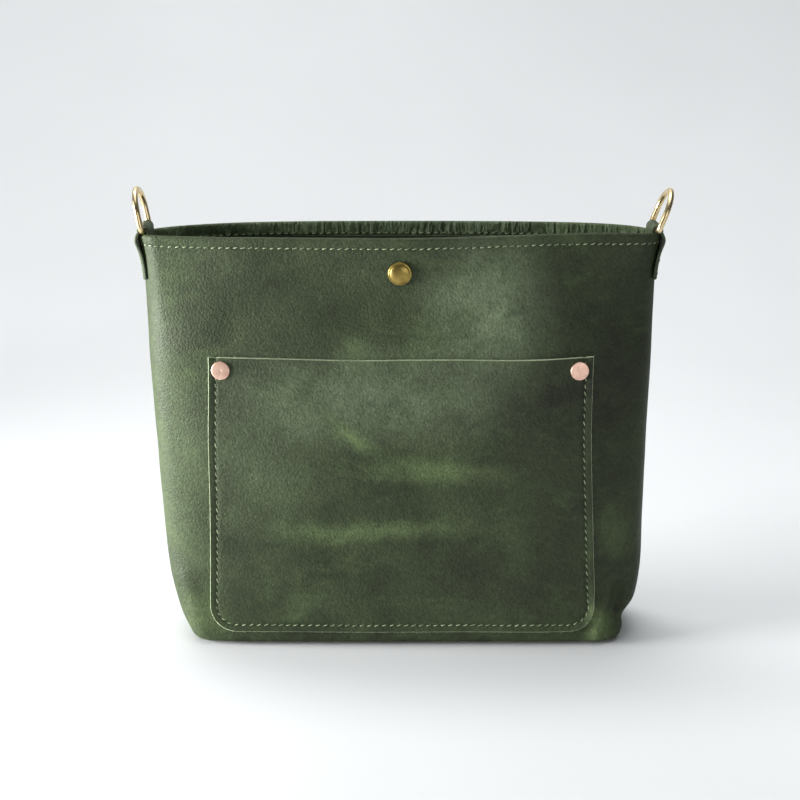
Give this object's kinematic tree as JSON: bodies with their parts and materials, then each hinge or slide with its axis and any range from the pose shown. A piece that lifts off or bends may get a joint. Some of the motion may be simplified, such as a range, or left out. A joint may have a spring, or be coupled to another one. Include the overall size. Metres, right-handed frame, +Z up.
{
  "type": "leather tote bag",
  "caption": "Open-topped leather tote with boxed corners, turned and stitched rim, outside patch pocket, press snap closure and a D ring on a folded tab over each side seam.",
  "frame": {"origin": "under the middle of the base, on the surface that the bag stands on", "axes": "+Z up, front with the pocket towards -Y, X across the bag from the left ring to the right ring as seen from the front"},
  "size_m": [0.3418, 0.079, 0.301],
  "materials": {
    "green_leather": "oiled full-grain, soft sheen",
    "green_leather_strip": "oiled full-grain strip with raw edges",
    "ring_brass": "polished",
    "snap_brass": "lightly aged, brushed dome",
    "rivet_copper": "bare copper, satin",
    "green_thread": "bonded polyester thread"
  },
  "bodies": {
    "bag": {"front_panel": "green_leather", "back_panel": "green_leather", "pocket_panel": "green_leather", "left_tab": "green_leather_strip", "right_tab": "green_leather_strip", "left_pocket_rivet": "rivet_copper", "right_pocket_rivet": "rivet_copper", "left_pocket_burr": "rivet_copper", "right_pocket_burr": "rivet_copper", "front_rim_thread": "green_thread", "back_rim_thread": "green_thread", "pocket_thread": "green_thread", "left_seam_thread": "green_thread", "right_seam_thread": "green_thread", "base_seam_thread": "green_thread", "left_corner_thread": "green_thread", "right_corner_thread": "green_thread", "left_tab_thread": "green_thread", "right_tab_thread": "green_thread"},
    "mouth_front": {"snap_cap": "snap_brass", "snap_socket": "snap_brass"},
    "mouth_back": {"snap_stud": "snap_brass", "snap_post": "snap_brass"},
    "left_ring": {"left_ring": "ring_brass"},
    "right_ring": {"right_ring": "ring_brass"}
  },
  "joints": [
    {"name": "left_ring_swing", "type": "hinge", "parent": "bag", "child": "left_ring", "pos_m": [-0.1623, 0, 0.2743], "axis": [0, -1, 0], "range_deg": [-95, 115]},
    {"name": "right_ring_swing", "type": "hinge", "parent": "bag", "child": "right_ring", "pos_m": [0.1623, 0, 0.2743], "axis": [0, 1, 0], "range_deg": [-105, 105]},
    {"name": "mouth_close_front", "type": "hinge", "parent": "bag", "child": "mouth_front", "pos_m": [0, -0.038, 0.004], "axis": [-1, 0, 0], "range_deg": [0, 5.3], "stiffness_Nm_per_rad": 2, "deforming": ["front_panel", "pocket_panel", "front_rim_thread", "pocket_thread"]},
    {"name": "mouth_close_back", "type": "hinge", "parent": "bag", "child": "mouth_back", "pos_m": [0, 0.038, 0.004], "axis": [1, 0, 0], "range_deg": [0, 5.3], "stiffness_Nm_per_rad": 2, "deforming": ["back_panel", "back_rim_thread"]}
  ],
  "couplings": [
    {"joint": "mouth_close_back", "follows": "mouth_close_front", "ratio": 1}
  ]
}
